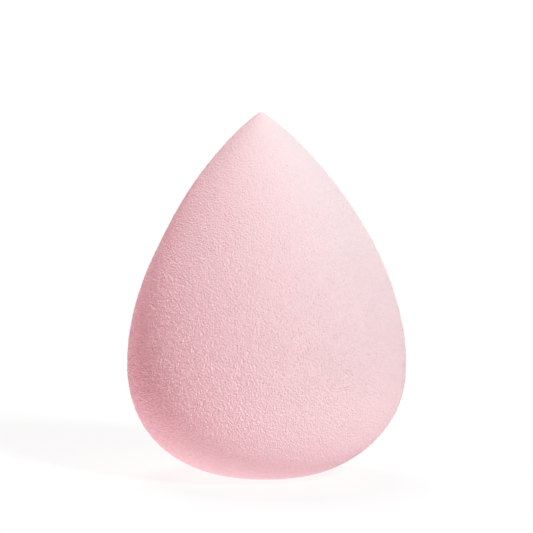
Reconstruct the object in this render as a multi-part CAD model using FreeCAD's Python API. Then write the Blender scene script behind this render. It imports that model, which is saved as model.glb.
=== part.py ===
"""Teardrop makeup sponge: one body of soft open-cell foam, round at the base and pointed at the top.

The sponge is a single moulded piece, turned about its own axis. Lengths are in millimetres and angles
in degrees. +Z runs up the axis, and the origin is the centre of the small face that the sponge rests on.
"""

import FreeCAD
import Part

import math
import os

# Overall sizes of the dry sponge
HEIGHT = 60.0
BELLY_DIAMETER = 46.0
BELLY_HEIGHT = 18.6

# The flat that the foam settles to under its own weight
REST_FACE_DIAMETER = 8.5

# The point: its rounding, and the slope of the side where the rounding starts, measured from the axis
POINT_RADIUS = 0.5
POINT_HALF_ANGLE = 55.0

# Fullness of the outline: how far each curve keeps to the direction of its end before it bends away
BASE_REACH = 7.4
HAUNCH_REACH = 13.3
SHOULDER_REACH = 14.8
POINT_REACH = 13.3

FULL_TURN = 360.0
AXIS = FreeCAD.Vector(0, 0, 1)
OUTWARD = FreeCAD.Vector(1, 0, 0)
ORIGIN = FreeCAD.Vector(0, 0, 0)


def on_outline(radius, height):
    """A point of the outline, at that distance from the axis and that height above the rest face."""
    return OUTWARD * radius + AXIS * height


def smooth_curve(start, start_pull, end_pull, end):
    """One cubic curve from start to end, which leaves and arrives along the lines to its two pulls."""
    curve = Part.BezierCurve()
    curve.setPoles([start, start_pull, end_pull, end])
    return curve.toShape()


def on_point_rounding(degrees):
    """A point on the ball that rounds the tip, where its surface looks up at that angle above the level."""
    angle = math.radians(degrees)
    return on_outline(
        POINT_RADIUS * math.cos(angle),
        HEIGHT - POINT_RADIUS + POINT_RADIUS * math.sin(angle),
    )


def base_curve(rest_rim, belly):
    """The rounded underside, from the rim of the rest face out and up to the belly."""
    return smooth_curve(
        rest_rim,
        rest_rim + OUTWARD * BASE_REACH,
        belly - AXIS * HAUNCH_REACH,
        belly,
    )


def side_curve(belly, point_rim):
    """The long side, from the belly up to where the rounding of the point starts."""
    slope = math.radians(POINT_HALF_ANGLE)
    down_the_side = OUTWARD * math.sin(slope) - AXIS * math.cos(slope)
    return smooth_curve(
        belly,
        belly + AXIS * SHOULDER_REACH,
        point_rim + down_the_side * POINT_REACH,
        point_rim,
    )


def half_outline():
    """The closed outline of one side, with the axis as its straight edge."""
    rest_rim = on_outline(REST_FACE_DIAMETER / 2, 0)
    belly = on_outline(BELLY_DIAMETER / 2, BELLY_HEIGHT)
    point_rim = on_point_rounding(POINT_HALF_ANGLE)
    straight_up = 90.0
    point_top = on_point_rounding(straight_up)
    point_between = on_point_rounding((POINT_HALF_ANGLE + straight_up) / 2)
    return Part.Wire([
        Part.LineSegment(ORIGIN, rest_rim).toShape(),
        base_curve(rest_rim, belly),
        side_curve(belly, point_rim),
        Part.Arc(point_rim, point_between, point_top).toShape(),
        Part.LineSegment(point_top, ORIGIN).toShape(),
    ])


def foam_body():
    """The whole sponge: the outline turned once about the axis."""
    return Part.Face(half_outline()).revolve(ORIGIN, AXIS, FULL_TURN)


def main():
    os.makedirs("parts", exist_ok=True)
    body = foam_body()
    body.exportStep("parts/foam_body.step")
    box = body.BoundBox
    print(f"foam_body {box.XLength:.2f} x {box.YLength:.2f} x {box.ZLength:.2f} mm")
    print(f"volume {body.Volume:.1f} mm3, centre of mass at height {body.CenterOfMass.z:.2f} mm")
    print(f"closed and valid: {body.isClosed() and body.isValid()}")


main()
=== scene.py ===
"""Looks of the teardrop makeup sponge: its foam, the floor it stands on, the lights and the camera.

Lengths are in metres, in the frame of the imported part: +Z runs up the sponge's axis from the centre of
the face it rests on. The camera looks along +Y, with +X to its right.
"""

import math

import bpy
import numpy as np
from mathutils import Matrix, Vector, noise


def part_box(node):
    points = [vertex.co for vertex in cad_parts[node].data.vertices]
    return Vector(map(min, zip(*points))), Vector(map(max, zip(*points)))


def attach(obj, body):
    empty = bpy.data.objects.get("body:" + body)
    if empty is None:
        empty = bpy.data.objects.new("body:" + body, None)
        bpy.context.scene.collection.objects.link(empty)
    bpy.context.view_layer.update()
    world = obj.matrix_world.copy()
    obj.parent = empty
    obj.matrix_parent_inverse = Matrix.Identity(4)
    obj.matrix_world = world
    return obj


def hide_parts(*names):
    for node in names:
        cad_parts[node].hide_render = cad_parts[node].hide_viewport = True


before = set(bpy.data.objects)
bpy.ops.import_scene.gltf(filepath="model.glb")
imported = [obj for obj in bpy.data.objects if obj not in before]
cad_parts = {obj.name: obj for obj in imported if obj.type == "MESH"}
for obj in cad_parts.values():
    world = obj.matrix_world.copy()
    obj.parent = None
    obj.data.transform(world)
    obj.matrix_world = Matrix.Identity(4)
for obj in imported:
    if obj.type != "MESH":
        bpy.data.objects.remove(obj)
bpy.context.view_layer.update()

MM = 0.001

# Outline of the solid, as its own sizes give it
BODY_LOW, BODY_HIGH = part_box("foam_body")
HEIGHT = BODY_HIGH[2] - BODY_LOW[2]
BELLY_RADIUS = (BODY_HIGH[0] - BODY_LOW[0]) / 2
BELLY_HEIGHT = 18.6 * MM
REST_FACE_RADIUS = 4.25 * MM
POINT_RADIUS = 0.5 * MM
POINT_HALF_ANGLE = math.radians(55)
BASE_REACH = 7.4 * MM
HAUNCH_REACH = 13.3 * MM
SHOULDER_REACH = 14.8 * MM
POINT_REACH = 13.3 * MM
POINTS_PER_CURVE = 1500

# The mesh: a cube whose faces have this many squares along each edge, drawn over the sponge
SQUARES_PER_EDGE = 128

# How soft foam departs from a turned body: a point that leans and a base that sits a little aside
LEAN_START = 38 * MM
LEAN_AT_POINT = -0.94 * MM
LEAN_BEND = 1.2
FOOT_START = 14.5 * MM
FOOT_AT_REST = -0.45 * MM
FOOT_BEND = 1.3

# Unevenness of the moulded surface, and the coarse part of its grain
SWELL_LENGTH = 13 * MM
SWELL_HEIGHT = 0.10 * MM
GRAIN_LENGTH = 1.1 * MM
GRAIN_HEIGHT = 0.02 * MM

# The camera: its elevation in degrees, the point that it looks at, and the width of the view there
CAMERA_DISTANCE = 0.6
CAMERA_ELEVATION = 5
CAMERA_AIM = Vector((-0.03 * MM, 0, 34.57 * MM))
FRAME_WIDTH_AT_AIM = 87.64 * MM
SENSOR_WIDTH_IN_MM = 36

# The foam's skin: round beads, whose top and foot are shares of their spacing, with crumbs among them
BEAD_SPACING = 0.35 * MM
BEAD_TOP = 0.15
BEAD_FOOT = 0.75
CRUMB_LENGTH = 0.26 * MM
CRUMB_SHARE = 0.55

# The relief that they make: its depth, the height in it (0 to 1) that stays where the smooth skin was,
# and how many times a render divides the mesh for it
RELIEF_DEPTH = 0.30 * MM
RELIEF_AT_SKIN = 0.7
RELIEF_DIVISIONS = 2

# The belly, where the relief is full, and the share of it that is left at the tip and at the base
BELLY_TOP = 22 * MM
BELLY_BOTTOM = 16 * MM
COARSENESS_AT_TIP = 0.14
COARSENESS_AT_BASE = 0.18

# Fine roughness, which tilts the surface without moving it: the same relief with some dust on it
DUST_LENGTH = 0.12 * MM
DUST_SHARE = 0.2
FINE_HEIGHT = 0.045 * MM

# The middle part of the noise, where nearly all of its values lie
NOISE_LOW = 0.3
NOISE_HIGH = 0.7

# Colour, with wide faint patches in it, painted shade in the hollows between the beads, and dullness
PATCH_LENGTH = 6 * MM
PATCH_SHARE = 0.3
# The first pink is painted shade, for the hollows between the beads; the second is the pink of the bead
# tops
HOLLOW_SHADE_COLOUR = (0.88, 0.58, 0.61)
PALE_COLOUR = (0.90, 0.605, 0.635)
LEAST_ROUGH = 0.78
MOST_ROUGH = 0.95
GLOSS = 0.3

# Tints of the studio's lamps: cool in front and above, and rosy at the side
WHITE = (1, 1, 1)
KEY_TINT = (0.73, 1, 0.97)
TOP_TINT = (0.75, 1, 0.94)
SIDE_TINT = (1, 0.18, 0.345)

# Soft light from all round: the floor's pale rosy light below a blurred horizon, and little above it
FLOOR_LIGHT = (0.92, 0.79, 0.82)
ROOM_LIGHT = (0.05, 0.05, 0.05)
HORIZON_BLUR = 0.15

# The floor: a dark paint that looks grey under the lamps and takes the shadow, and a glow up to white
FLOOR_HALF_SIDE = 1.5
FLOOR_PAINT = (0.150, 0.122, 0.125)
FLOOR_GLOW = 0.86


def cubic(start, start_pull, end_pull, end):
    """Points of one cubic curve from start to end, which leaves and arrives along its two pulls."""
    t = np.linspace(0, 1, POINTS_PER_CURVE)[:, None]
    s = 1 - t
    return s**3 * start + 3 * s**2 * t * start_pull + 3 * s * t**2 * end_pull + t**3 * end


def half_outline():
    """The outline of one side as radius and height, from the tip down to the centre of the rest face."""
    out = np.array([1.0, 0.0])
    up = np.array([0.0, 1.0])
    point_centre = up * (HEIGHT - POINT_RADIUS)
    angles = np.linspace(math.pi / 2, POINT_HALF_ANGLE, POINTS_PER_CURVE)[:, None]
    point = point_centre + POINT_RADIUS * (np.cos(angles) * out + np.sin(angles) * up)
    point_rim = point[-1]
    belly = out * BELLY_RADIUS + up * BELLY_HEIGHT
    rest_rim = out * REST_FACE_RADIUS
    down_the_side = out * math.sin(POINT_HALF_ANGLE) - up * math.cos(POINT_HALF_ANGLE)
    side = cubic(point_rim, point_rim + down_the_side * POINT_REACH, belly + up * SHOULDER_REACH, belly)
    base = cubic(belly, belly - up * HAUNCH_REACH, rest_rim + out * BASE_REACH, rest_rim)
    rest = np.linspace(rest_rim, np.zeros(2), POINTS_PER_CURVE)
    return np.concatenate([point, side[1:], base[1:], rest[1:]])


def cube_shell(count):
    """Corners of a cube divided into count squares along each edge, from -1 to 1, and its squares."""
    u, v = np.meshgrid(np.arange(count), np.arange(count), indexing="ij")
    corners = [(u, v), (u + 1, v), (u + 1, v + 1), (u, v + 1)]
    flat = np.stack([np.stack(corner, axis=-1) for corner in corners], axis=2).reshape(-1, 4, 2)
    squares = []
    for axis in range(3):
        for side in (0, count):
            face = np.insert(flat, axis, side, axis=2)
            # Seen from outside, squares on the two faces across Y run round the other way
            outward = (side == count) == (axis != 1)
            squares.append(face if outward else face[:, ::-1])
    lattice, index = np.unique(np.concatenate(squares).reshape(-1, 3), axis=0, return_inverse=True)
    return lattice * 2 / count - 1, index.reshape(-1, 4)


def on_sponge(cube_points):
    """Where each point of the cube lies on the turned body, with the body's outward direction there.

    Equal areas of a ball round the cube become equal areas of the sponge, so its squares stay even.
    """
    warped = np.tan(cube_points * math.pi / 4)
    ball = warped / np.linalg.norm(warped, axis=1, keepdims=True)
    outline = half_outline()
    steps = np.diff(outline, axis=0)
    belts = np.hypot(*steps.T) * (outline[1:, 0] + outline[:-1, 0])
    area = np.concatenate([[0], np.cumsum(belts)])
    place = (1 - ball[:, 2]) / 2 * area[-1]
    radius = np.interp(place, area, outline[:, 0])
    height = np.interp(place, area, outline[:, 1])
    slope = np.gradient(outline, axis=0)
    slope /= np.linalg.norm(slope, axis=1, keepdims=True)
    outward = np.interp(place, area, -slope[:, 1])
    upward = np.interp(place, area, slope[:, 0])
    around = np.arctan2(ball[:, 1], ball[:, 0])
    sideways = np.stack([np.cos(around), np.sin(around)], axis=1)
    points = np.column_stack([sideways * radius[:, None], height])
    normals = np.column_stack([sideways * outward[:, None], upward])
    return points, normals


def lean(points):
    """Moves the point and the base aside, each more and more towards its end."""
    height = points[:, 2]
    to_point = np.clip((height - LEAN_START) / (HEIGHT - LEAN_START), 0, 1)
    to_base = np.clip((FOOT_START - height) / FOOT_START, 0, 1)
    moved = points.copy()
    moved[:, 0] += LEAN_AT_POINT * to_point**LEAN_BEND + FOOT_AT_REST * to_base**FOOT_BEND
    return moved


def unevenness(point):
    """How far the moulded surface stands out or in at a point."""
    place = Vector(point)
    swell = SWELL_HEIGHT * noise.noise(place / SWELL_LENGTH)
    return swell + GRAIN_HEIGHT * noise.noise(place / GRAIN_LENGTH)


def foam_body():
    """The sponge: one closed skin over its foam, flat only where it rests on the floor."""
    cube_points, squares = cube_shell(SQUARES_PER_EDGE)
    points, normals = on_sponge(cube_points)
    offsets = np.array([unevenness(point) for point in points])
    points = lean(points + normals * offsets[:, None])
    points[:, 2] = np.maximum(points[:, 2], 0)
    mesh = bpy.data.meshes.new("sponge_foam")
    mesh.from_pydata(points.tolist(), [], squares.tolist())
    mesh.shade_smooth()
    body = bpy.data.objects.new("sponge_foam", mesh)
    bpy.context.collection.objects.link(body)
    body.data.materials.append(foam_material())
    finer = body.modifiers.new("finer", "SUBSURF")
    finer.levels = 0
    finer.render_levels = RELIEF_DIVISIONS
    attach(body, "root")
    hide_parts("foam_body")


def add_node(tree, kind, **settings):
    """A new node of that kind, with its own properties set by name."""
    node = tree.nodes.new(kind)
    for name, value in settings.items():
        setattr(node, name, value)
    return node


def mapped(tree, value, low, high, to_low, to_high):
    """A value brought from one range to another, and held within it."""
    node = add_node(tree, "ShaderNodeMapRange", clamp=True)
    tree.links.new(value, node.inputs["Value"])
    node.inputs["From Min"].default_value = low
    node.inputs["From Max"].default_value = high
    node.inputs["To Min"].default_value = to_low
    node.inputs["To Max"].default_value = to_high
    return node.outputs["Result"]


def combined(tree, operation, first, second):
    """One sum, product or like of two values, each a socket or a number."""
    node = add_node(tree, "ShaderNodeMath", operation=operation)
    for socket, value in zip(node.inputs, (first, second)):
        if isinstance(value, (int, float)):
            socket.default_value = value
        else:
            tree.links.new(value, socket)
    return node.outputs["Value"]


def noise_of(tree, place, length):
    """Soft noise whose patches are about that long."""
    node = add_node(tree, "ShaderNodeTexNoise")
    tree.links.new(place, node.inputs["Vector"])
    node.inputs["Scale"].default_value = 1 / length
    return mapped(tree, node.outputs["Fac"], NOISE_LOW, NOISE_HIGH, 0, 1)


def beads(tree, place):
    """1 on the top of each round bead, falling to 0 at its foot."""
    node = add_node(tree, "ShaderNodeTexVoronoi", feature="F1")
    tree.links.new(place, node.inputs["Vector"])
    node.inputs["Scale"].default_value = 1 / BEAD_SPACING
    return mapped(tree, node.outputs["Distance"], BEAD_TOP, BEAD_FOOT, 1, 0)


def shared(tree, first, second, share):
    """A mean of two values, with that share of the second."""
    rest = combined(tree, "MULTIPLY", first, 1 - share)
    return combined(tree, "ADD", rest, combined(tree, "MULTIPLY", second, share))


def colours_of(sockets):
    """Those of a node's sockets that hold a colour."""
    return [socket for socket in sockets if socket.type == "RGBA"]


def colour_mix(tree, share, first, second):
    """One colour between two, by that share of the second."""
    node = add_node(tree, "ShaderNodeMix", data_type="RGBA")
    tree.links.new(share, node.inputs["Factor"])
    for socket, colour in zip(colours_of(node.inputs), (first, second)):
        socket.default_value = (*colour, 1)
    [result] = colours_of(node.outputs)
    return result


def coarseness(tree, place):
    """1 round the belly, where the skin is coarsest, and less towards the tip and towards the base."""
    split = add_node(tree, "ShaderNodeSeparateXYZ")
    tree.links.new(place, split.inputs["Vector"])
    height = split.outputs["Z"]
    to_tip = mapped(tree, height, BELLY_TOP, HEIGHT, 1, COARSENESS_AT_TIP)
    to_base = mapped(tree, height, 0, BELLY_BOTTOM, COARSENESS_AT_BASE, 1)
    return combined(tree, "MULTIPLY", to_tip, to_base)


def carve(tree, relief, depth):
    """Moves the surface itself, so that the beads are real bumps with hollows between them."""
    node = add_node(tree, "ShaderNodeDisplacement")
    node.inputs["Midlevel"].default_value = RELIEF_AT_SKIN
    tree.links.new(relief, node.inputs["Height"])
    tree.links.new(depth, node.inputs["Scale"])
    tree.links.new(node.outputs["Displacement"], tree.nodes["Material Output"].inputs["Displacement"])


def roughened(tree, height):
    """The direction of the surface, tilted by the slopes of a fine height."""
    bump = add_node(tree, "ShaderNodeBump")
    bump.inputs["Strength"].default_value = 1
    bump.inputs["Distance"].default_value = FINE_HEIGHT
    tree.links.new(height, bump.inputs["Height"])
    return bump.outputs["Normal"]


def foam_material():
    """Dry foam with a fine sandy skin: pale pink with faint patches, painted shade in the hollows between
    its beads, and dull all over.
    """
    material = bpy.data.materials.new("sponge_foam")
    material.use_nodes = True
    material.displacement_method = "BOTH"
    tree = material.node_tree
    foam = tree.nodes["Principled BSDF"]
    place = add_node(tree, "ShaderNodeTexCoord").outputs["Object"]
    crumbs = noise_of(tree, place, CRUMB_LENGTH)
    dust = noise_of(tree, place, DUST_LENGTH)
    patches = noise_of(tree, place, PATCH_LENGTH)
    relief = shared(tree, beads(tree, place), crumbs, CRUMB_SHARE)
    fine = shared(tree, relief, dust, DUST_SHARE)
    patches_and_hollow_shade = shared(tree, relief, patches, PATCH_SHARE)
    coarse = coarseness(tree, place)
    carve(tree, relief, combined(tree, "MULTIPLY", coarse, RELIEF_DEPTH))
    fine_height = combined(tree, "MULTIPLY", fine, coarse)
    tree.links.new(roughened(tree, fine_height), foam.inputs["Normal"])
    # Colour: faint random patches, and painted shade that darkens the hollows between the beads
    tree.links.new(colour_mix(tree, patches_and_hollow_shade, HOLLOW_SHADE_COLOUR, PALE_COLOUR), foam.inputs["Base Color"])
    tree.links.new(mapped(tree, crumbs, 0, 1, LEAST_ROUGH, MOST_ROUGH), foam.inputs["Roughness"])
    foam.inputs["Specular IOR Level"].default_value = GLOSS
    return material


def seen_directly(tree):
    """1 where the eye, a mirror or glass looks straight at a surface, and 0 for soft light from it."""
    path = add_node(tree, "ShaderNodeLightPath")
    mirrored = combined(tree, "MAXIMUM", path.outputs["Is Glossy Ray"], path.outputs["Is Transmission Ray"])
    return combined(tree, "MAXIMUM", path.outputs["Is Camera Ray"], mirrored)


def emission(tree, colour, strength):
    """Light of one colour that a surface gives off by itself."""
    node = add_node(tree, "ShaderNodeEmission")
    node.inputs["Color"].default_value = (*colour, 1)
    node.inputs["Strength"].default_value = strength
    return node.outputs["Emission"]


def floor():
    """A plain white floor, which shows the sponge's soft shadow and lets light through from below."""
    side = FLOOR_HALF_SIDE
    corners = [(-side, -side, 0), (side, -side, 0), (side, side, 0), (-side, side, 0)]
    mesh = bpy.data.meshes.new("floor")
    mesh.from_pydata(corners, [], [(0, 1, 2, 3)])
    plane = bpy.data.objects.new("floor", mesh)
    bpy.context.collection.objects.link(plane)
    plane.visible_diffuse = False
    plane.visible_shadow = False
    material = bpy.data.materials.new("floor")
    material.use_nodes = True
    tree = material.node_tree
    tree.nodes.remove(tree.nodes["Principled BSDF"])
    paint = add_node(tree, "ShaderNodeBsdfDiffuse")
    paint.inputs["Color"].default_value = (*FLOOR_PAINT, 1)
    both = add_node(tree, "ShaderNodeAddShader")
    painted, glowing = both.inputs
    tree.links.new(paint.outputs["BSDF"], painted)
    tree.links.new(emission(tree, WHITE, FLOOR_GLOW), glowing)
    tree.links.new(both.outputs["Shader"], tree.nodes["Material Output"].inputs["Surface"])
    mesh.materials.append(material)


def surroundings():
    """White all round to the eye. The sponge gets soft light from the floor below and little from above."""
    world = bpy.data.worlds.new("studio")
    bpy.context.scene.world = world
    world.use_nodes = True
    tree = world.node_tree
    direction = add_node(tree, "ShaderNodeTexCoord").outputs["Generated"]
    split = add_node(tree, "ShaderNodeSeparateXYZ")
    tree.links.new(direction, split.inputs["Vector"])
    below = mapped(tree, split.outputs["Z"], -HORIZON_BLUR, HORIZON_BLUR, 1, 0)
    soft = tree.nodes["Background"]
    tree.links.new(colour_mix(tree, below, ROOM_LIGHT, FLOOR_LIGHT), soft.inputs["Color"])
    white = add_node(tree, "ShaderNodeBackground")
    white.inputs["Color"].default_value = (*WHITE, 1)
    chosen = add_node(tree, "ShaderNodeMixShader")
    choice, otherwise, when_seen = chosen.inputs
    tree.links.new(seen_directly(tree), choice)
    tree.links.new(soft.outputs["Background"], otherwise)
    tree.links.new(white.outputs["Background"], when_seen)
    tree.links.new(chosen.outputs["Shader"], tree.nodes["World Output"].inputs["Surface"])


def toward(azimuth, elevation):
    """A direction from the sponge: azimuth 0 is towards the camera and 90 to its right, in degrees."""
    turn = math.radians(azimuth)
    rise = math.radians(elevation)
    return Vector((math.sin(turn) * math.cos(rise), -math.cos(turn) * math.cos(rise), math.sin(rise)))


def lamp(name, azimuth, elevation, spread, level, colour):
    """A broad far lamp. Level 1 shows a surface that faces it in the surface's own colour."""
    light = bpy.data.lights.new(name, "SUN")
    light.angle = math.radians(spread)
    light.energy = level * math.pi
    light.color = colour
    holder = bpy.data.objects.new(name, light)
    holder.rotation_euler = (-toward(azimuth, elevation)).to_track_quat("-Z", "Y").to_euler()
    bpy.context.collection.objects.link(holder)


def camera():
    """A long lens in front of the sponge, which looks slightly down at it."""
    lens = bpy.data.cameras.new("camera")
    lens.sensor_width = SENSOR_WIDTH_IN_MM
    lens.lens = SENSOR_WIDTH_IN_MM * CAMERA_DISTANCE / FRAME_WIDTH_AT_AIM
    eye = bpy.data.objects.new("camera", lens)
    direction = toward(0, CAMERA_ELEVATION)
    eye.location = CAMERA_AIM + direction * CAMERA_DISTANCE
    eye.rotation_euler = (-direction).to_track_quat("-Z", "Y").to_euler()
    bpy.context.collection.objects.link(eye)
    bpy.context.scene.camera = eye


bpy.context.scene.view_settings.view_transform = "Standard"
camera()
foam_body()
floor()
surroundings()
lamp("key", azimuth=36, elevation=32, spread=10, level=0.98, colour=KEY_TINT)
lamp("top", azimuth=-165, elevation=63, spread=30, level=0.70, colour=TOP_TINT)
lamp("side", azimuth=-60, elevation=25, spread=60, level=0.225, colour=SIDE_TINT)
lamp("rim", azimuth=-138, elevation=-32, spread=30, level=0.45, colour=WHITE)
